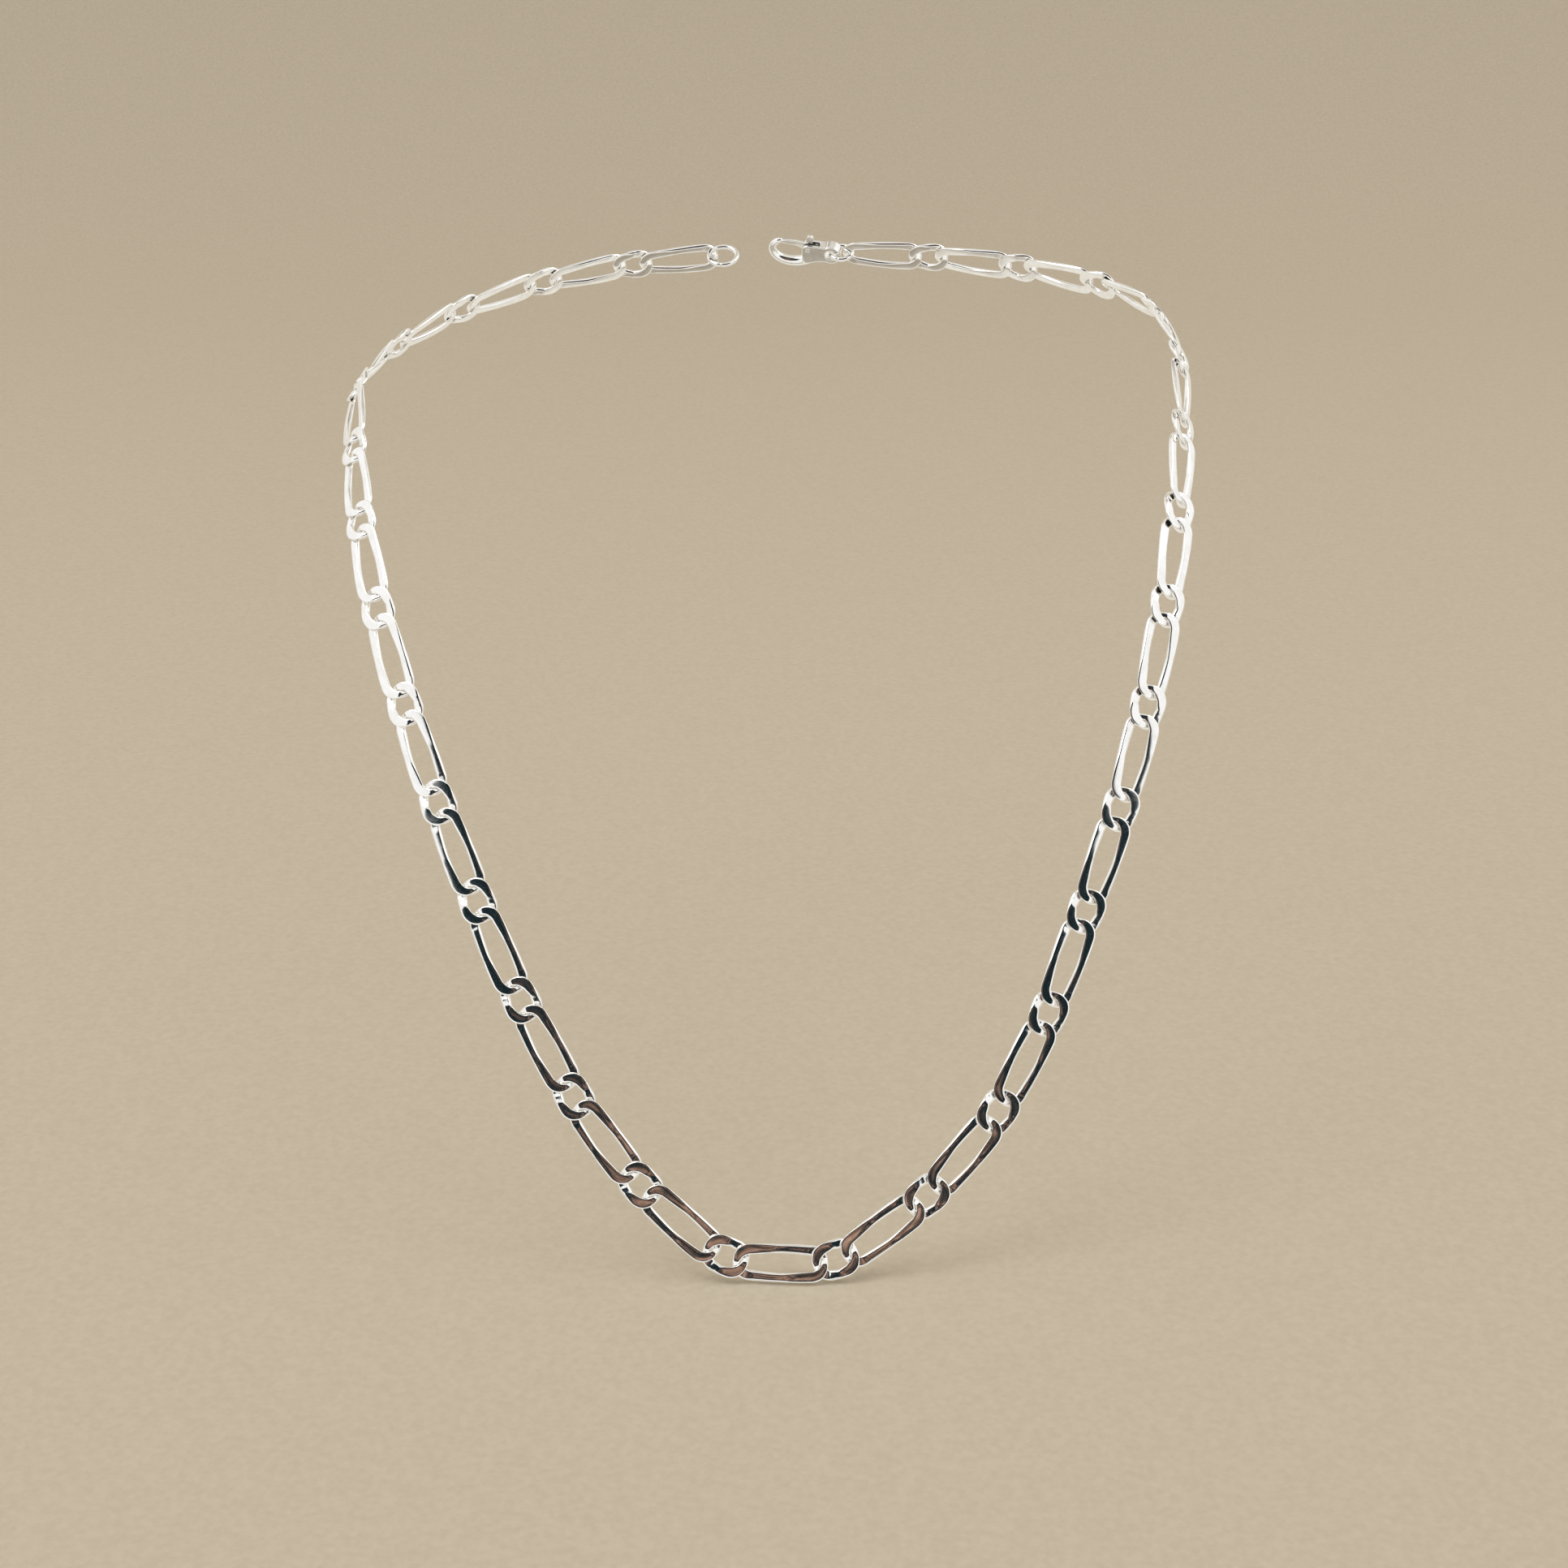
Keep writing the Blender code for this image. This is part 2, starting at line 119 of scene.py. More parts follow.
PIVOT = Vector((3.9 * MM, 0.9 * MM, 0.0))  # the trigger's, from the clasp's own pivot in its eye
EYE_ARC = range(60, 301, 12)  # degrees round the eye, the long way from one side to the other
BODY_BEVEL = 0.55 * MM
TRIGGER_BEVEL = 0.12 * MM
PIN_BEVEL = 0.08 * MM
PIN_PLAY = 0.02 * MM
CUTTER_DEPTH = 4.0 * MM  # of the tools that cut the eye and the pin hole
CAST_VOXEL, FINAL_VOXEL = 0.08 * MM, 0.07 * MM  # of the clasp body's skin, before and after cutting
HOOK_ROUTE = (  # x, y and radius in mm
    (2.6, -0.75, 0.85),
    (4.2, -1.65, 0.90),
    (5.9, -2.15, 0.90),
    (7.7, -2.10, 0.85),
    (9.2, -1.45, 0.78),
    (10.1, -0.30, 0.70),
    (10.1, 0.95, 0.62),
    (9.35, 1.85, 0.55),
    (8.75, 2.10, 0.45),
)
# outlines in mm: the body past its eye, the trigger's slot, and the trigger about its pivot
BODY_FRONT = ((2.6, -1.6), (4.3, -2.0), (4.9, -1.3), (4.9, 1.0), (4.2, 1.75), (2.9, 1.7))
SLOT_CORNERS = ((1.85, -0.35), (2.6, -0.75), (4.0, -0.55), (5.6, -0.7), (5.6, 3.0), (1.85, 3.0))
TRIGGER_OUTLINE = (
    (-0.75, -0.25),
    (-0.70, 0.55),
    (-0.95, 1.75),
    (-0.75, 2.35),
    (-0.20, 2.45),
    (0.20, 1.95),
    (0.55, 1.05),
    (2.2, 1.35),
    (4.35, 1.40),
    (4.45, 0.80),
    (2.4, 0.45),
    (0.65, -0.35),
    (0.0, -0.62),
)
# the spring's middle line in mm, about the trigger's pivot
SPRING_ROUTE = ((-1.05, -0.95), (-1.60, -0.55), (-1.72, 0.10), (-1.45, 0.60))
SPRING_RADIUS = 0.13 * MM
DOME_STEPS = 5
DOME_START = 0.15  # of a step: how far from its very tip a rod's first ring lies

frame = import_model()
cad_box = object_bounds()
collection = bpy.context.scene.collection


# ---------------------------------------------------------------- meshes
def add_object(name, mesh, place=Matrix.Identity(4)):
    obj = bpy.data.objects.new(name, mesh)
    collection.objects.link(obj)
    obj.matrix_world = place
    return obj


def loft_mesh(name, rings, closed):
    """A skin over rings of points: a closed loop of them, or a rod with capped ends."""
    shape = bmesh.new()
    loops = [[shape.verts.new(point) for point in ring] for ring in rings]
    count = len(loops[0])
    for index in range(len(loops) if closed else len(loops) - 1):
        first, second = loops[index], loops[(index + 1) % len(loops)]
        for k in range(count):
            shape.faces.new((first[k], first[(k + 1) % count], second[(k + 1) % count], second[k]))
    if not closed:
        shape.faces.new(loops[0])
        shape.faces.new(loops[-1])
    bmesh.ops.recalc_face_normals(shape, faces=shape.faces)
    for face in shape.faces:
        face.smooth = True
    mesh = bpy.data.meshes.new(name)
    shape.to_mesh(mesh)
    shape.free()
    return mesh


def link_middle(samples, length, width, twist, bow, hold):
    """Evenly spaced points along the middle of a link's wire."""
    half_length, half_width = length / 2 - WIRE_RADIUS, width / 2 - WIRE_RADIUS
    straight = half_length - half_width
    limb = 2 * straight + 2 * half_width * (math.pi / 2 - CROSSING_ANGLE)
    quarter = math.pi / 2
    fine = []
    for angle in np.linspace(-quarter, quarter, FINE_STEPS, endpoint=False):
        if abs(angle) < CROSSING_ANGLE:
            share = min(1.0, TIP_HOLD * abs(angle) / CROSSING_ANGLE)
            height = -math.copysign(math.sin(quarter * share), angle)
        else:
            along = half_width * (abs(angle) - CROSSING_ANGLE)
            height = -math.copysign(limb_height(along / limb, hold), angle)
        x = straight + half_width * math.cos(angle)
        fine.append((x, (half_width - bow) * math.sin(angle), twist * height))
    for x in np.linspace(straight, -straight, FINE_STEPS, endpoint=False):
        along = half_width * (quarter - CROSSING_ANGLE) + straight - x
        y = half_width - bow + bow * math.cos(quarter * x / straight)
        fine.append((x, y, -twist * limb_height(along / limb, hold)))
    fine = np.array(fine)
    fine = np.concatenate([fine, fine * (-1, -1, 1)])
    around = np.concatenate([fine, fine[:1]])
    distance = np.concatenate([[0], np.cumsum(np.linalg.norm(np.diff(around, axis=0), axis=1))])
    wanted = np.linspace(0, distance[-1], samples, endpoint=False)
    return np.stack([np.interp(wanted, distance, around[:, k]) for k in range(3)], axis=1)


def limb_height(share, hold):
    """1 at the near crossing to -1 at the far one, level for longer than a cosine by hold."""
    wave = math.cos(math.pi * share)
    return wave * (1 + hold * (1 - wave * wave))


def pressed(z, limit, soft):
    """Height after pressing between two flat dies this far from the middle, edges turned softly."""
    top = limit - soft * np.logaddexp(0, (limit - z) / soft)
    return -(limit - soft * np.logaddexp(0, (limit + top) / soft))


def clear_of_neighbour(z, middle, twist):
    """Height after the neighbour's wire has pressed a dent where the two links cross."""
    near = max(0.0, (abs(middle) / twist - DENT_START) / (1 - DENT_START))
    limit = near * near * (3 - 2 * near) * (WIRE + DENT_GAP) - WIRE
    side = math.copysign(1, middle)
    soft = FLAT_ROUNDING
    return side * (limit + soft * np.logaddexp(0, (side * z - limit) / soft))


def section_angles(height, half_thickness):
    """Angles round the wire, closest together where the flats end."""
    ease = (1 - np.cos(np.linspace(0, math.pi, SIDE_STEPS, endpoint=False))) / 2
    rolled = LIMB_FLAT / WIRE
    top = math.asin(max(-STEEPEST, min(rolled, (half_thickness - height) / WIRE)))
    bottom = math.asin(max(-STEEPEST, min(rolled, (half_thickness + height) / WIRE)))
    corners = (-bottom, top, math.pi - top, math.pi + bottom, 2 * math.pi - bottom)
    return np.concatenate([a + (b - a) * ease for a, b in zip(corners, corners[1:])])


def link_mesh(name, samples, length, width, twist, half_thickness, bow, hold):
    """A link about its middle: round wire, pressed flat at its four crossings."""
    middle = link_middle(samples, length, width, twist, bow, hold)
    tangents = np.roll(middle, -1, axis=0) - np.roll(middle, 1, axis=0)
    tangents /= np.linalg.norm(tangents, axis=1)[:, None]
    rings = []
    for point, tangent in zip(middle, tangents):
        side = np.cross((0, 0, 1), tangent)
        side /= np.linalg.norm(side)
        up = np.cross(tangent, side)
        angles = section_angles(point[2], half_thickness)
        cut = max(0.0, abs(point[2]) + WIRE - half_thickness) / WIRE
        limb = np.clip((abs(point[1]) - LIMB_START) / (LIMB_FULL - LIMB_START), 0, 1)
        from_tip = min(1.0, abs(point[1]) / CROSSING_Y) ** 2
        spread = PRESSED_SPREAD * cut * from_tip + LIMB_SPREAD * limb * (1 - cut)
        across = WIRE * (1 + spread) * np.cos(angles)
        above = pressed(WIRE * np.sin(angles), LIMB_FLAT, FLAT_ROUNDING)
        ring = point + across[:, None] * side + above[:, None] * up
        ring[:, 2] = pressed(ring[:, 2], half_thickness, PRESS_ROUNDING)
        ring[:, 2] = clear_of_neighbour(ring[:, 2], point[2], twist)
        rings.append(ring)
    return loft_mesh(name, rings, True)


def applied(obj):
    """The object's mesh with its modifiers applied, in its own frame; the object is removed."""
    bpy.context.view_layer.update()
    evaluated = obj.evaluated_get(bpy.context.evaluated_depsgraph_get())
    mesh = bpy.data.meshes.new_from_object(evaluated)
    name = obj.name
    bpy.data.objects.remove(obj, do_unlink=True)
    mesh.name = name
    for polygon in mesh.polygons:
        polygon.use_smooth = True
    return mesh


# ---------------------------------------------------------------- materials
# noise scales per metre: faint tarnish, haze, fine scratches and the waviness of worn faces
TARNISH_SCALE, HAZE_SCALE, SCRATCH_SCALE, WAVE_SCALE = 420.0, 900.0, 5200.0, 190.0
PIECE_OFFSET = 7.3  # metres at most, so that no two pieces are marked alike
SCRATCH_STRETCH = (1.0, 9.0, 9.0)  # scratches run along a piece
SCRATCH_SHARPNESS = 5.0
SCRATCH_ROUGHNESS = 0.5
SCRATCH_DEPTH = 0.004 * MM
SCRATCH_STRENGTH = 0.12


class Nodes:
    """Short ways to add shader nodes to a tree."""

    def __init__(self, tree):
        self.tree = tree

    def add(self, kind, links=(), **settings):
        node = self.tree.nodes.new(kind)
        for key, value in settings.items():
            setattr(node, key, value)
        for socket, source in dict(links).items():
            if isinstance(source, bpy.types.NodeSocket):
                self.tree.links.new(source, node.inputs[socket])
            else:
                node.inputs[socket].default_value = source
        return node

    def maths(self, operation, first, second=0.0, clamp=False):
        node = self.add("ShaderNodeMath", {0: first, 1: second}, operation=operation)
        node.use_clamp = clamp
        return node.outputs[0]

    def ramp(self, factor, stops):
        node = self.add("ShaderNodeValToRGB", {"Fac": factor})
        elements = node.color_ramp.elements
        while len(elements) < len(stops):
            elements.new(0.5)
        for element, (place, colour) in zip(elements, stops):
            element.position = place
            element.color = (*colour, 1.0)
        return node.outputs["Color"]

    def noise(self, vector, scale, detail=2.0, roughness=0.5):
        return self.add(
            "ShaderNodeTexNoise",
            {"Vector": vector, "Scale": scale, "Detail": detail, "Roughness": roughness},
        ).outputs["Fac"]


def silver_material(name, bright, dull, polish, haze, waviness):
    """Polished silver: clear mirror, with fine scratches, a little haze and faint tarnish."""
    mat = bpy.data.materials.new(name)
    mat.use_nodes = True
    nodes = Nodes(mat.node_tree)
    shader = mat.node_tree.nodes["Principled BSDF"]
    coordinates = nodes.add("ShaderNodeTexCoord").outputs["Object"]
    random = nodes.add("ShaderNodeObjectInfo").outputs["Random"]
    offset = nodes.maths("MULTIPLY", random, PIECE_OFFSET)
    place = nodes.add(
        "ShaderNodeVectorMath", {0: coordinates, 1: offset}, operation="ADD"
    ).outputs[0]

    tarnish = nodes.noise(place, TARNISH_SCALE, 4.0, 0.6)
    colour = nodes.ramp(tarnish, ((0.38, dull), (0.58, bright)))
    mat.node_tree.links.new(colour, shader.inputs["Base Color"])

    cloud = nodes.noise(place, HAZE_SCALE, 3.0, 0.55)
    stretched = nodes.add("ShaderNodeMapping", {"Vector": place, "Scale": SCRATCH_STRETCH})
    scratch = nodes.noise(stretched.outputs[0], SCRATCH_SCALE, 2.0, 0.7)
    scratch = nodes.maths("POWER", scratch, SCRATCH_SHARPNESS)
    amount = nodes.maths("MULTIPLY", cloud, haze)
    amount = nodes.maths("ADD", amount, polish)
    scored = nodes.maths("MULTIPLY", scratch, SCRATCH_ROUGHNESS)
    rough = nodes.maths("ADD", amount, scored, clamp=True)
    mat.node_tree.links.new(rough, shader.inputs["Roughness"])

    wave = nodes.noise(place, WAVE_SCALE, 1.0, 0.4)
    first = nodes.add("ShaderNodeBump", {"Height": wave, "Strength": 1.0, "Distance": waviness})
    second = nodes.add(
        "ShaderNodeBump",
        {
            "Height": scratch,
            "Strength": SCRATCH_STRENGTH,
            "Distance": SCRATCH_DEPTH,
            "Normal": first.outputs[0],
        },
    )
    mat.node_tree.links.new(second.outputs[0], shader.inputs["Normal"])
    shader.inputs["Metallic"].default_value = 1.0
    return mat


# bright and dull colour, least roughness, haze and depth of the waviness
LINK_SILVER = silver_material(
    "link_silver", (0.955, 0.945, 0.925), (0.90, 0.88, 0.84), 0.035, 0.07, 0.10 * MM
)
RING_SILVER = silver_material(
    "ring_silver", (0.94, 0.93, 0.91), (0.88, 0.86, 0.82), 0.06, 0.10, 0.05 * MM
)
CLASP_SILVER = silver_material(
    "clasp_silver", (0.94, 0.93, 0.91), (0.88, 0.86, 0.82), 0.07, 0.12, 0.06 * MM
)
SPRING_STEEL = silver_material(
    "spring_steel", (0.62, 0.62, 0.62), (0.50, 0.49, 0.48), 0.20, 0.20, 0.01 * MM
)


def finish_piece(obj, mat, slot, body, *nodes):
    obj.data.materials.clear()
    obj.data.materials.append(mat)
    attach(obj, body)
    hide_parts(*nodes)
    return obj


# ---------------------------------------------------------------- places, from the joints
JOINTS = {joint["child"]: joint for joint in frame["joints"]}
FOLLOWING = {}
for row in frame["joints"]:
    FOLLOWING.setdefault(row["parent"], []).append(row)


def position(joint):
    return Vector(joint["pos_m"])


def placement(origin, forward, across):
    """X forward, Y across the flat of the chain, Z out of it."""
    x = forward.normalized()
    y = (across - x * across.dot(x)).normalized()
    matrix = Matrix((x, y, x.cross(y))).transposed().to_4x4()
    matrix.translation = origin
    return matrix


def strand_place(body):
    """The place of a strand's body: its own pivot, X towards the next pivot."""
    own = JOINTS[body]
    following = FOLLOWING[body][0]
    return placement(position(own), position(following) - position(own), Vector(own["axis"]))


# ---------------------------------------------------------------- chain
long_mesh = link_mesh("long_link", LONG_SAMPLES, *LONG_SHAPE)
short_mesh = link_mesh("short_link", SHORT_SAMPLES, *SHORT_SHAPE)


def add_link(name, mesh, place, centre, body, node):
    obj = add_object(name, mesh.copy(), place @ Matrix.Translation((centre, 0, 0)))
    finish_piece(obj, LINK_SILVER, "link_silver", body, node)


first_pivots = {row["child"].split("_")[0]: position(row) for row in FOLLOWING["front_link"]}
heading = first_pivots["right"] - first_pivots["left"]
middle = (first_pivots["right"] + first_pivots["left"]) / 2
add_link(
    "front_link_silver",
    long_mesh,
    placement(middle, heading, FRONT_FACING.cross(heading)),
    0.0,
    "front_link",
    "front_link",
)
for body in frame["bodies"]:
    words = body.split("_")
    if words[1:3] == ["back", "pair"]:
        place = strand_place(body)
        side, first, second = words[0], words[3], words[4]
        add_link(f"{side}_short_{first}_silver", short_mesh, place, SHORT_REACH, body, body)
        far = 2 * SHORT_REACH + LONG_REACH
        add_link(f"{side}_long_{second}_silver", long_mesh, place, far, body, body)
    elif words[0] in ("left", "right"):
        mesh, reach = (long_mesh, LONG_REACH) if words[1] == "long" else (short_mesh, SHORT_REACH)
        add_link(f"{words[0]}_{words[1]}_{words[3]}_silver", mesh, strand_place(body), reach, body, body)


# ---------------------------------------------------------------- rings
def ring_mesh(name, radius):
    """A round ring in its XZ plane, cut once: the two ends meet at a fine seam."""
    rings = []
    for step in range(RING_STEPS + 1):
        angle = RING_SEAM / 2 + (2 * math.pi - RING_SEAM) * step / RING_STEPS
        near_end = min(step, RING_STEPS - step)
        wire = RING_WIRE_RADIUS
        if near_end < len(SEAM_SHARES):
            wire *= SEAM_SHARES[near_end]
        ring = []
        for k in range(RING_SIDES):
            turn = 2 * math.pi * k / RING_SIDES
            out = radius + wire * math.cos(turn)
            ring.append((out * math.cos(angle), wire * math.sin(turn), out * math.sin(angle)))
        rings.append(ring)
    return loft_mesh(name, rings, False)


def ring_place(body, before):
    """A ring's frame: its pivot, X carrying on from the link before it."""
    own = JOINTS[body]
    return placement(position(own), strand_place(before).col[0].xyz, Vector(own["axis"]))


for body, radius in (("jump_ring", JUMP_RING_RADIUS), ("end_ring", END_RING_RADIUS)):
    place = ring_place(body, JOINTS[body]["parent"])
    turned = Matrix.Rotation(math.radians(RING_TURNS[body]), 4, "Y")
    centre = Matrix.Translation((radius - RING_PIVOT, 0, 0)) @ turned
    ring = add_object(body + "_silver", ring_mesh(body, radius), place @ centre)
    finish_piece(ring, RING_SILVER, "ring_silver", body, body)


# ---------------------------------------------------------------- clasp
def smooth_side(a, b, c, d, steps):
    """Points from b towards c on the smooth curve through all four, from mm to metres."""
    square = 2 * a - 5 * b + 4 * c - d
    cube = 3 * b - a - 3 * c + d
    shares = [step / steps for step in range(steps)]
    return [0.5 * (2 * b + (c - a) * t + square * t**2 + cube * t**3) * MM for t in shares]


def smooth_outline(corners, per_side):
    """A closed smooth curve through the corners, in metres."""
    count = len(corners)
    points = []
    for index in range(count):
        near = [Vector(corners[(index + k) % count]) for k in (-1, 0, 1, 2)]
        points += smooth_side(*near, per_side)
    return points


def open_route(rows, per_side):
    """A smooth open curve through rows of numbers, in metres."""
    last = len(rows) - 1
    points = []
    for index in range(last):
        near = [Vector(rows[min(max(index + k, 0), last)]) for k in (-1, 0, 1, 2)]
        points += smooth_side(*near, per_side)
    points.append(Vector(rows[-1]) * MM)
    return points


def plate(name, outline, thickness):
    """A flat plate with the outline, about the XY plane."""
    shape = bmesh.new()
    face = shape.faces.new([shape.verts.new((x, y, -thickness / 2)) for x, y in outline])
    made = bmesh.ops.extrude_face_region(shape, geom=[face])
    top = [item for item in made["geom"] if isinstance(item, bmesh.types.BMVert)]
    bmesh.ops.translate(shape, verts=top, vec=(0, 0, thickness))
    bmesh.ops.recalc_face_normals(shape, faces=shape.faces)
    mesh = bpy.data.meshes.new(name)
    shape.to_mesh(mesh)
    shape.free()
    return mesh


def dome(row, outwards):
    """Rows that close a rod's end, from its tip down to the rod."""
    point, direction, radius = row
    rows = []
    for step in range(DOME_STEPS):
        turn = math.pi / 2 * (step + DOME_START) / DOME_STEPS
        tip = point + direction * outwards * radius * math.cos(turn)
        rows.append((tip, direction, radius * math.sin(turn)))
    return rows


def rod(name, route_points, sides=16):
    """A round wire in the XY plane with domed ends, through points of x, y and radius."""
    points = [point.xy for point in route_points]
    count = len(points)
    route = []
    for index in range(count):
        before, after = points[max(0, index - 1)], points[min(count - 1, index + 1)]
        route.append((points[index], (after - before).normalized(), route_points[index].z))
    rings = []
    for point, direction, radius in dome(route[0], -1) + route + dome(route[-1], 1)[::-1]:
        across = Vector((-direction.y, direction.x, 0))
        ring = []
        for k in range(sides):
            turn = 2 * math.pi * k / sides
            ring.append(
                Vector((point.x, point.y, 0))
                + across * radius * math.cos(turn)
                + Vector((0, 0, radius * math.sin(turn)))
            )
        rings.append(ring)
    return loft_mesh(name, rings, False)


def cylinder(name, radius, depth, segments=48):
    mesh = bpy.data.meshes.new(name)
    shape = bmesh.new()
    bmesh.ops.create_cone(
        shape, cap_ends=True, segments=segments, radius1=radius, radius2=radius, depth=depth
    )
    shape.to_mesh(mesh)
    shape.free()
    return mesh


def modifier(obj, kind, **settings):
    made = obj.modifiers.new(kind.lower(), kind)
    for key, value in settings.items():
        setattr(made, key, value)
    return made


def bevelled(name, mesh, width, segments=4):
    obj = add_object(name, mesh)
    modifier(obj, "BEVEL", width=width, segments=segments, limit_method="ANGLE")
    return applied(obj)


def cut(obj, meshes):
    """Takes the shapes away from the object, which is replaced by its new mesh."""
    tools = [add_object("cutter", mesh) for mesh in meshes]
    for tool in tools:
        modifier(obj, "BOOLEAN", operation="DIFFERENCE", solver="EXACT", object=tool)
    mesh = applied(obj)
    for tool in tools:
        bpy.data.objects.remove(tool, do_unlink=True)
    return mesh


def merged(name, meshes, voxel, smoothing):
    """Several closed shapes as one soft cast skin."""
    shape = bmesh.new()
    for mesh in meshes:
        shape.from_mesh(mesh)
    joined = bpy.data.meshes.new(name)
    shape.to_mesh(joined)
    shape.free()
    obj = add_object(name, joined)
    modifier(obj, "REMESH", mode="VOXEL", voxel_size=voxel, use_smooth_shade=True)
    modifier(obj, "SMOOTH", factor=0.5, iterations=smoothing)
    return applied(obj)


def clasp_body_mesh():
    """The cast body: a bevelled blank grown into the hook, with the eye, slot and pin hole cut out."""
    around = []
    for degrees in EYE_ARC:
        angle = math.radians(degrees)
        around.append((EYE_RADIUS / MM * math.cos(angle), EYE_RADIUS / MM * math.sin(angle)))
    outline = smooth_outline(around + list(BODY_FRONT), 4)
    blank = bevelled("blank", plate("blank", outline, BODY_THICKNESS), BODY_BEVEL, 5)
    hook = rod("hook", open_route(HOOK_ROUTE, 6), 24)
    solid = add_object("solid", merged("solid", [blank, hook], CAST_VOXEL, 6))
    slot = plate("slot", [(x * MM, y * MM) for x, y in SLOT_CORNERS], SLOT_WIDTH)
    pin_hole = cylinder("pin_hole", PIN_RADIUS + PIN_PLAY, CUTTER_DEPTH)
    pin_hole.transform(Matrix.Translation(PIVOT))
    mesh = cut(solid, [cylinder("eye", EYE_HOLE_RADIUS, CUTTER_DEPTH), slot, pin_hole])
    return merged("clasp_body", [mesh], FINAL_VOXEL, 3)


clasp_joint = JOINTS["clasp"]
ring_before = ring_place("jump_ring", JOINTS["jump_ring"]["parent"])
clasp_x = ring_before.col[0].xyz
clasp_place = placement(
    position(clasp_joint), clasp_x, Vector(clasp_joint["axis"]).cross(clasp_x)
)
pivot_place = clasp_place @ Matrix.Translation(PIVOT)

finish_piece(
    add_object("clasp_body_silver", clasp_body_mesh(), clasp_place),
    CLASP_SILVER, "clasp_silver", "clasp", "clasp_body",
)

trigger_plate = plate("trigger", smooth_outline(TRIGGER_OUTLINE, 5), TRIGGER_THICKNESS)
finish_piece(
    add_object("clasp_trigger_silver", bevelled("trigger", trigger_plate, TRIGGER_BEVEL), pivot_place),
    CLASP_SILVER, "clasp_silver", "clasp_trigger", "clasp_trigger",
)
finish_piece(
    add_object(
        "trigger_pin_silver",
        bevelled("pin", cylinder("pin", PIN_RADIUS, PIN_LENGTH), PIN_BEVEL),
        pivot_place,
    ),
    CLASP_SILVER, "clasp_silver", "clasp", "trigger_pin",
)
spring_route = open_route([(x, y, SPRING_RADIUS / MM) for x, y in SPRING_ROUTE], 8)
finish_piece(
    add_object("trigger_spring_steel", rod("spring", spring_route), pivot_place),
    SPRING_STEEL, "spring_steel", "clasp", "trigger_spring",
)


# ---------------------------------------------------------------- floor and backdrop
FLOOR_GAP = 0.4 * MM  # under the lowest link
FLOOR_FRONT, FLOOR_END, SIDE, WALL_TOP = -2.5, 0.55, 3.0, 2.5
SWEEP_RADIUS = 0.45
SWEEP_STEPS = 16
PAPER_COLOURS = (0.62, 0.535, 0.405), (0.68, 0.59, 0.455)
PAPER_GRAIN = 900.0
PAPER_ROUGHNESS = 0.9


def backdrop():
    """A pale sheet: flat under the necklace, curving up far behind it."""
    floor_z = cad_box[0].z - FLOOR_GAP
    profile = [(FLOOR_FRONT, 0.0), (FLOOR_END, 0.0)]
    for step in range(1, SWEEP_STEPS + 1):
        angle = math.pi / 2 * step / SWEEP_STEPS
        rise = SWEEP_RADIUS * (1 - math.cos(angle))
        profile.append((FLOOR_END + SWEEP_RADIUS * math.sin(angle), rise))
    profile.append((FLOOR_END + SWEEP_RADIUS, WALL_TOP))
    rows = [[(x, y, floor_z + z) for x in (-SIDE, SIDE)] for y, z in profile]
    shape = bmesh.new()
    loops = [[shape.verts.new(point) for point in row] for row in rows]
    for first, second in zip(loops, loops[1:]):
        shape.faces.new((first[0], first[1], second[1], second[0])).smooth = True
    mesh = bpy.data.meshes.new("backdrop")
    shape.to_mesh(mesh)
    shape.free()
    mat = bpy.data.materials.new("backdrop_paper")
    mat.use_nodes = True
    shader = mat.node_tree.nodes["Principled BSDF"]
    nodes = Nodes(mat.node_tree)
    coordinates = nodes.add("ShaderNodeTexCoord").outputs["Object"]
    grain = nodes.noise(coordinates, PAPER_GRAIN, 3.0)
    colour = nodes.ramp(grain, ((0.3, PAPER_COLOURS[0]), (0.7, PAPER_COLOURS[1])))
    mat.node_tree.links.new(colour, shader.inputs["Base Color"])
    shader.inputs["Roughness"].default_value = PAPER_ROUGHNESS
    mesh.materials.append(mat)
    obj = add_object("backdrop", mesh)
    obj.visible_glossy = False  # the silver mirrors the studio light all round instead


backdrop()

# ---------------------------------------------------------------- light
CAMERA_ELEVATION = math.radians(22)
CAMERA_TARGET = Vector((2.0, -68.0, -46.0)) * MM
CAMERA_DISTANCE = 388.4 * MM
LENS = 62.6
CHEST_FACING = Vector((0.0, -0.886, 0.463))  # out of the chest that the chain lies on
WINDOW_START, WINDOW_LOW = 0.40, 0.05  # how far to the side and how high the windows begin
WINDOW_SIDE_EDGE, WINDOW_LOW_EDGE = 5.0, 4.0  # how sharply
USER_WIDTH, USER_HEIGHT, USER_MIDDLE = 1.38, 1.75, 0.40  # larger is narrower, and how high
USER_EDGE_SCALE, USER_RAGGEDNESS = 4.0, 0.30
OUT_OF_SIGHT = 9.0
COPPER_START, COPPER_GAIN = 1.02, 2.1  # most copper straight out of the chest, less away from it
BLOTCH_SCALE, BLOTCH_GAIN = 20.0, 1.5
PAST_THE_PAPER = (0.47, 0.41, 0.31, 1.0)


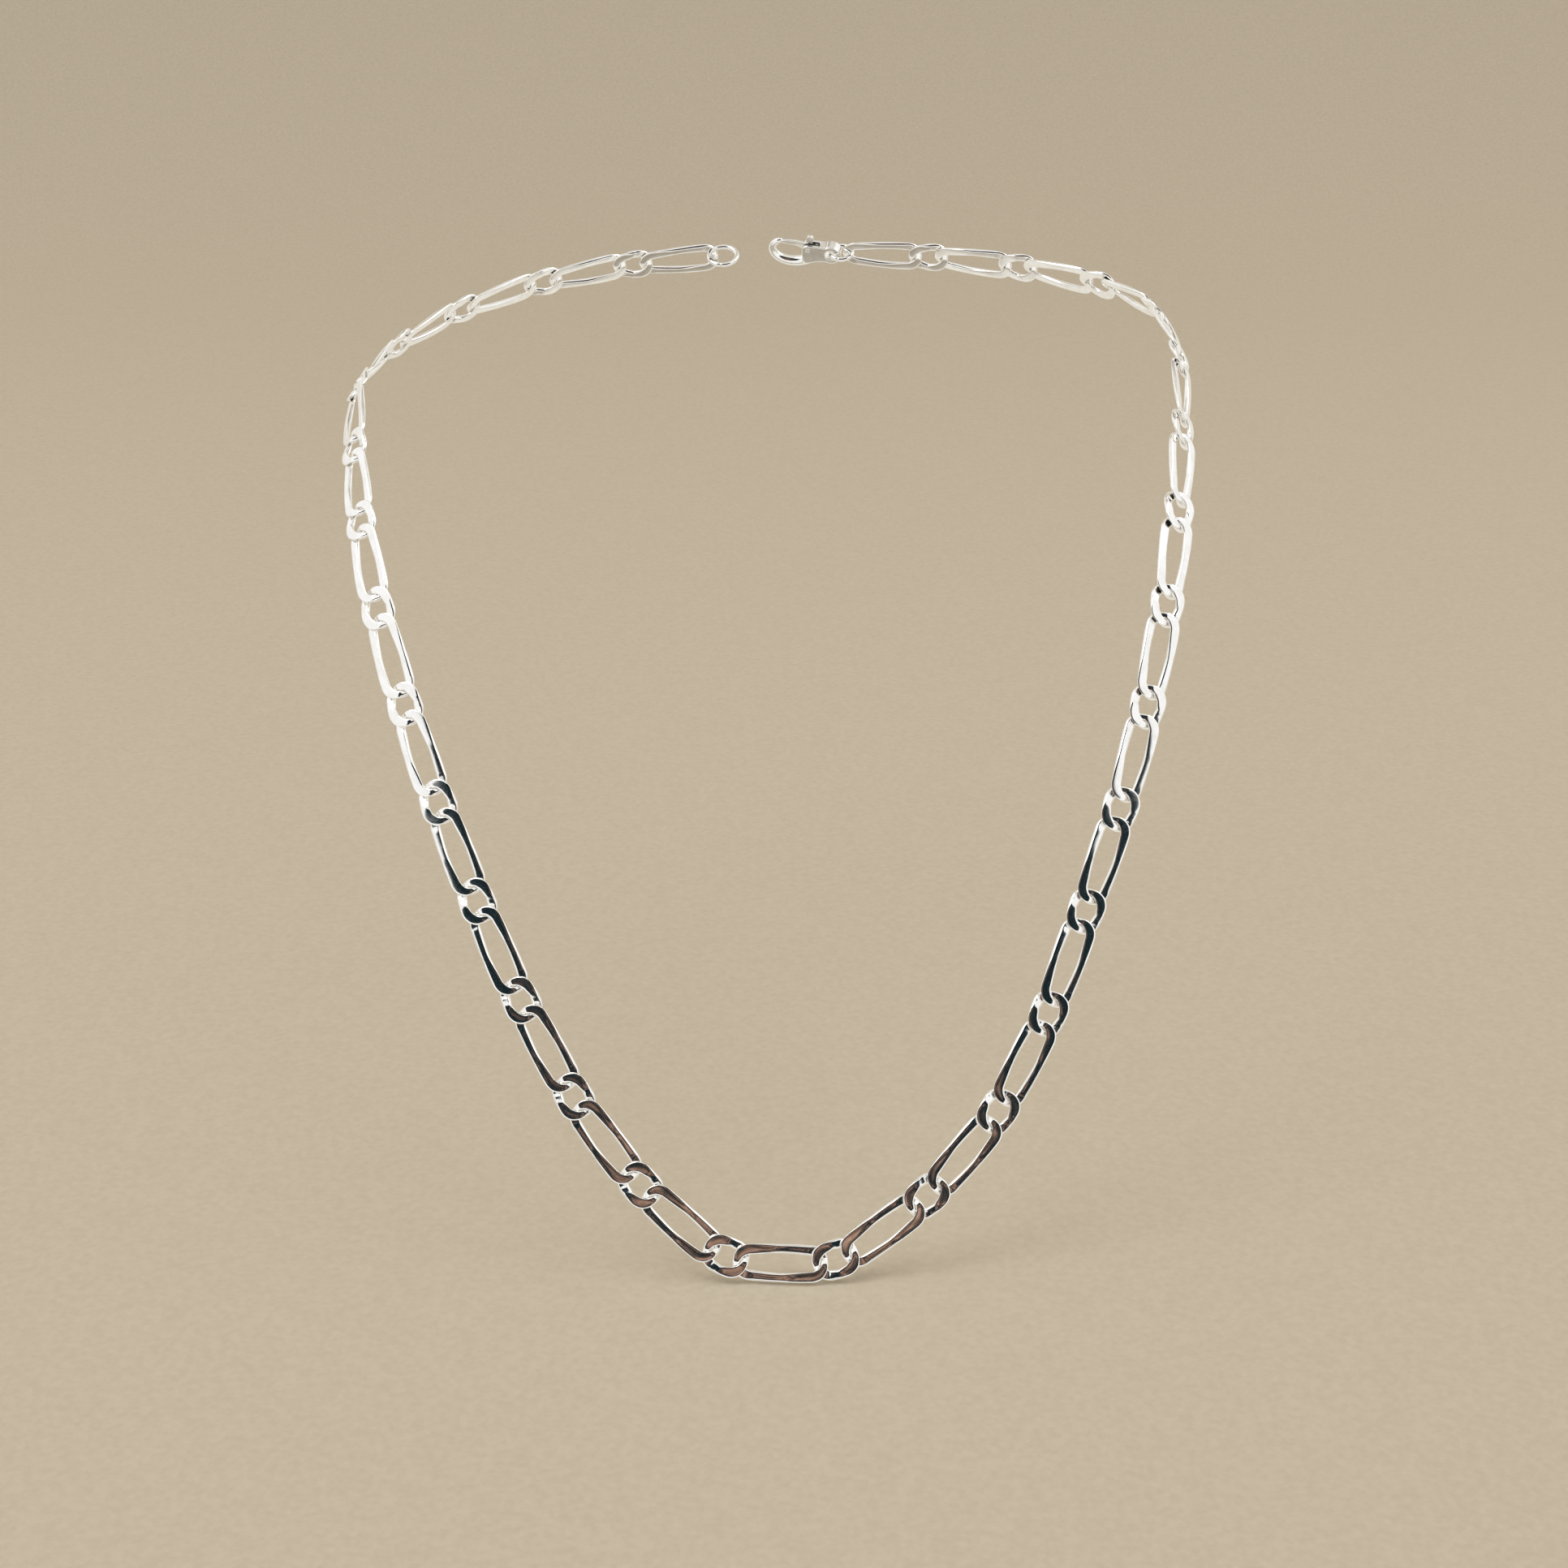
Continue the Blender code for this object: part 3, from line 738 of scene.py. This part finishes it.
def world_light():
    """A white studio with one dark patch, where the camera's user stands."""
    world = bpy.data.worlds.new("studio")
    bpy.context.scene.world = world
    world.use_nodes = True
    nodes = Nodes(world.node_tree)
    background = world.node_tree.nodes["Background"]
    direction = nodes.add("ShaderNodeTexCoord").outputs["Generated"]
    parts = nodes.add("ShaderNodeSeparateXYZ", {0: direction}).outputs
    # white in front of the chest, beige where the wire mirrors the chest itself
    chest = nodes.add(
        "ShaderNodeVectorMath", {0: direction, 1: CHEST_FACING}, operation="DOT_PRODUCT"
    ).outputs["Value"]
    front = nodes.ramp(
        nodes.maths("ADD", nodes.maths("MULTIPLY", chest, 0.5), 0.5),
        (
            (0.0, (0.80, 0.76, 0.68)),
            (0.34, (0.86, 0.83, 0.76)),
            (0.45, (0.34, 0.30, 0.24)),
            (0.55, (0.72, 0.68, 0.60)),
            (0.64, (0.98, 0.97, 0.94)),
            (1.0, (1.0, 1.0, 1.0)),
        ),
    )
    # bright windows to both sides, which the links on the shoulders mirror
    sideways = nodes.maths("ADD", nodes.maths("ABSOLUTE", parts["X"]), -WINDOW_START)
    sideways = nodes.maths("MULTIPLY", sideways, WINDOW_SIDE_EDGE, clamp=True)
    above = nodes.maths("ADD", parts["Z"], -WINDOW_LOW)
    above = nodes.maths("MULTIPLY", above, WINDOW_LOW_EDGE, clamp=True)
    window = nodes.maths("MULTIPLY", sideways, above)
    bright = nodes.add(
        "ShaderNodeMix",
        {"Factor": window, 6: front, 7: (1.0, 1.0, 1.0, 1.0)},
        data_type="RGBA",
    )
    sky = bright.outputs[2]
    # how far a direction lies from the camera's user, who is a tall dark shape
    wide = nodes.maths("MULTIPLY", parts["X"], USER_WIDTH)
    low = nodes.maths("ADD", parts["Z"], -USER_MIDDLE)
    tall = nodes.maths("MULTIPLY", low, USER_HEIGHT)
    square = nodes.maths(
        "ADD", nodes.maths("MULTIPLY", wide, wide), nodes.maths("MULTIPLY", tall, tall)
    )
    behind = nodes.maths("GREATER_THAN", parts["Y"], 0.0)
    behind = nodes.maths("MULTIPLY", behind, OUT_OF_SIGHT)
    away = nodes.maths("ADD", nodes.maths("SQRT", square), behind)
    ragged = nodes.noise(direction, USER_EDGE_SCALE, 2.0)
    ragged = nodes.maths("MULTIPLY", ragged, USER_RAGGEDNESS)
    edge = nodes.ramp(nodes.maths("ADD", away, ragged), ((0.98, (0, 0, 0)), (1.0, (1, 1, 1))))
    # coppery blotches in the middle of it, such as hands held up
    hands = nodes.maths("MULTIPLY", nodes.maths("ADD", chest, -COPPER_START), COPPER_GAIN)
    blotches = nodes.maths("MULTIPLY", nodes.noise(direction, BLOTCH_SCALE, 2.0), BLOTCH_GAIN)
    patches = nodes.maths("ADD", blotches, hands)
    user = nodes.ramp(
        patches,
        (
            (0.58, (0.008, 0.018, 0.022)),
            (0.70, (0.020, 0.034, 0.038)),
            (0.74, (0.24, 0.125, 0.085)),
            (0.86, (0.60, 0.38, 0.28)),
        ),
    )
    mixed = nodes.add("ShaderNodeMix", {"Factor": edge, 6: user, 7: sky}, data_type="RGBA")
    # past the edge of the backdrop the camera sees plain paper colour
    seen = nodes.add("ShaderNodeLightPath").outputs["Is Camera Ray"]
    shown = nodes.add(
        "ShaderNodeMix",
        {"Factor": seen, 6: mixed.outputs[2], 7: PAST_THE_PAPER},
        data_type="RGBA",
    )
    world.node_tree.links.new(shown.outputs[2], background.inputs["Color"])
    background.inputs["Strength"].default_value = 1.0


def area_light(name, location, target, size, power, colour=(1, 1, 1)):
    data = bpy.data.lights.new(name, "AREA")
    data.shape = "DISK"
    data.size = size
    data.energy = power
    data.color = colour
    obj = bpy.data.objects.new(name, data)
    collection.objects.link(obj)
    obj.location = location
    obj.rotation_euler = (Vector(target) - Vector(location)).to_track_quat("-Z", "Y").to_euler()


world_light()
area_light("key", (-0.7, -0.2, 1.1), (0, -0.03, -0.05), 0.7, 3.0)
area_light("fill", (0.8, 0.1, 0.8), (0, -0.03, -0.05), 0.6, 1.5, (1.0, 0.97, 0.92))

# ---------------------------------------------------------------- camera
camera_data = bpy.data.cameras.new("camera")
camera_data.lens = LENS
camera_data.sensor_width = 36.0
camera_data.clip_start = 0.01
camera_data.clip_end = 20.0
camera = bpy.data.objects.new("camera", camera_data)
collection.objects.link(camera)
looking = Vector((0, math.cos(CAMERA_ELEVATION), -math.sin(CAMERA_ELEVATION)))
camera.location = CAMERA_TARGET - looking * CAMERA_DISTANCE
camera.rotation_euler = looking.to_track_quat("-Z", "Y").to_euler()
bpy.context.scene.camera = camera
bpy.context.scene.view_settings.view_transform = "Standard"

bpy.context.view_layer.update()
